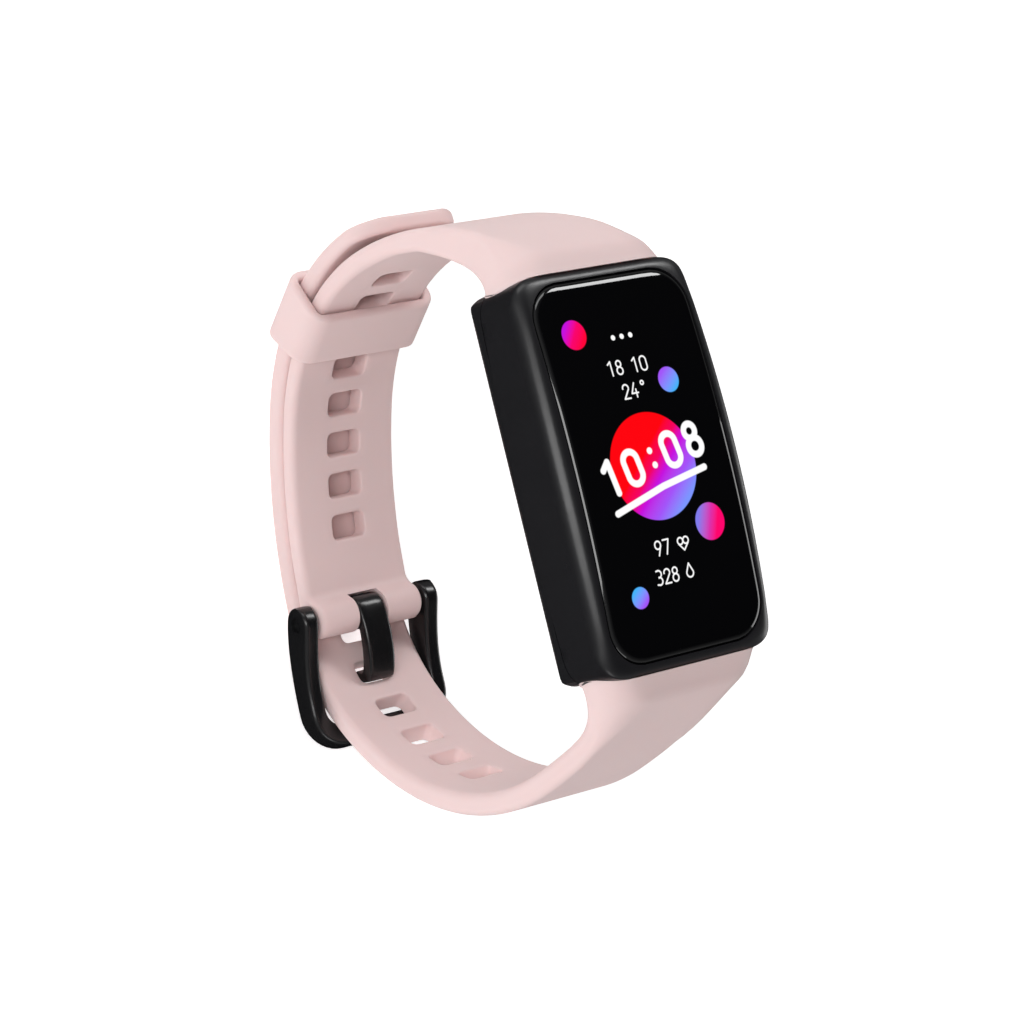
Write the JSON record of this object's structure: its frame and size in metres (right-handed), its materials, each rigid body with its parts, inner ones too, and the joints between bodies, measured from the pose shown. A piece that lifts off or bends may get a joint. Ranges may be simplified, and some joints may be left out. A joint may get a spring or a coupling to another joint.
{
  "type": "fitness tracker band",
  "caption": "Slim fitness tracker: arched glass-front case with a side button, on a soft two-part wrist strap closed by a tongue buckle and a keeper loop.",
  "frame": {"origin": "middle of the rear sensor face, the flat that lies on the wrist", "axes": "+X to the 3 o'clock side with the button, +Y to 12 o'clock along the band, +Z out of the display"},
  "size_m": [0.0259, 0.0674, 0.0628],
  "materials": {
    "case_plastic": "fine matte, near black",
    "cover_plastic": "fine matte, near black",
    "display_glass": "polished, black behind",
    "sensor_glass": "polished, dark tinted",
    "silicone": "soft matte blush silicone",
    "insert_plastic": "moulded",
    "buckle_black": "satin black",
    "steel": "turned steel",
    "seal_rubber": "moulded seal",
    "adhesive": "black adhesive film",
    "display_stack": "black panel",
    "flex_film": "amber film",
    "frame_plastic": "glass-filled plastic",
    "cell_foil": "pouch foil",
    "foam": "open foam",
    "board": "solder mask",
    "chip_resin": "moulded resin",
    "contact_gold": "gold plated",
    "emitter_resin": "clear resin",
    "diode_resin": "dark clear resin",
    "magnet": "nickel plated",
    "weight": "sintered tungsten"
  },
  "bodies": {
    "band": {"case_body": "case_plastic", "rear_cover": "cover_plastic", "rear_gasket": "seal_rubber", "cover_glass": "display_glass", "glass_adhesive": "adhesive", "display_panel": "display_stack", "display_flex": "flex_film", "inner_frame": "frame_plastic", "battery_cell": "cell_foil", "battery_foam": "foam", "main_board": "board", "main_chip": "chip_resin", "memory_chip": "chip_resin", "power_chip": "chip_resin", "motion_chip": "chip_resin", "board_connector": "insert_plastic", "antenna": "contact_gold", "motor_housing": "steel", "sensor_window": "sensor_glass", "sensor_board": "board", "emitters": "emitter_resin", "photodiodes": "diode_resin", "light_barrier": "foam", "charge_contacts": "contact_gold", "charge_magnets": "magnet", "button_seal": "seal_rubber", "button_switch": "steel", "board_screws": "steel", "upper_insert": "insert_plastic", "lower_insert": "insert_plastic", "latch_springs": "steel", "upper_strap": "silicone", "lower_strap": "silicone", "spring_bar": "steel", "bar_spring": "steel"},
    "keeper": {"keeper": "silicone"},
    "buckle": {"buckle_frame": "buckle_black"},
    "tongue": {"buckle_tongue": "buckle_black"},
    "button": {"button_cap": "case_plastic"},
    "upper_latch": {"upper_latch": "insert_plastic"},
    "lower_latch": {"lower_latch": "insert_plastic"},
    "tip_left": {"bar_tip_left": "buckle_black"},
    "tip_right": {"bar_tip_right": "buckle_black"},
    "rotor": {"motor_rotor": "weight"}
  },
  "joints": [
    {"name": "keeper_slide", "type": "hinge", "parent": "band", "child": "keeper", "pos_m": [0, 0.00451, -0.01855], "axis": [1, 0, 0], "range_deg": [-18, 18]},
    {"name": "buckle_hinge", "type": "hinge", "parent": "band", "child": "buckle", "pos_m": [0, -0.00715, -0.04625], "axis": [1, 0, 0], "range_deg": [0, 60]},
    {"name": "tongue_hinge", "type": "hinge", "parent": "band", "child": "tongue", "pos_m": [0, -0.00715, -0.04625], "axis": [1, 0, 0], "range_deg": [-80, 0]},
    {"name": "button_press", "type": "slide", "parent": "band", "child": "button", "axis": [-1, 0, 0], "range_m": [0, 0.00035], "stiffness_N_per_m": 400},
    {"name": "upper_latch_press", "type": "slide", "parent": "band", "child": "upper_latch", "axis": [0, 0, 1], "range_m": [0, 0.00055], "stiffness_N_per_m": 400},
    {"name": "lower_latch_press", "type": "slide", "parent": "band", "child": "lower_latch", "axis": [0, 0, 1], "range_m": [0, 0.00055], "stiffness_N_per_m": 400},
    {"name": "tip_left_press", "type": "slide", "parent": "band", "child": "tip_left", "axis": [1, 0, 0], "range_m": [0, 0.0017], "stiffness_N_per_m": 400},
    {"name": "tip_right_press", "type": "slide", "parent": "band", "child": "tip_right", "axis": [-1, 0, 0], "range_m": [0, 0.0017], "stiffness_N_per_m": 400},
    {"name": "rotor_spin", "type": "hinge", "parent": "band", "child": "rotor", "pos_m": [0, 0.0155, 0.00435], "axis": [0, 0, 1], "continuous": true}
  ]
}
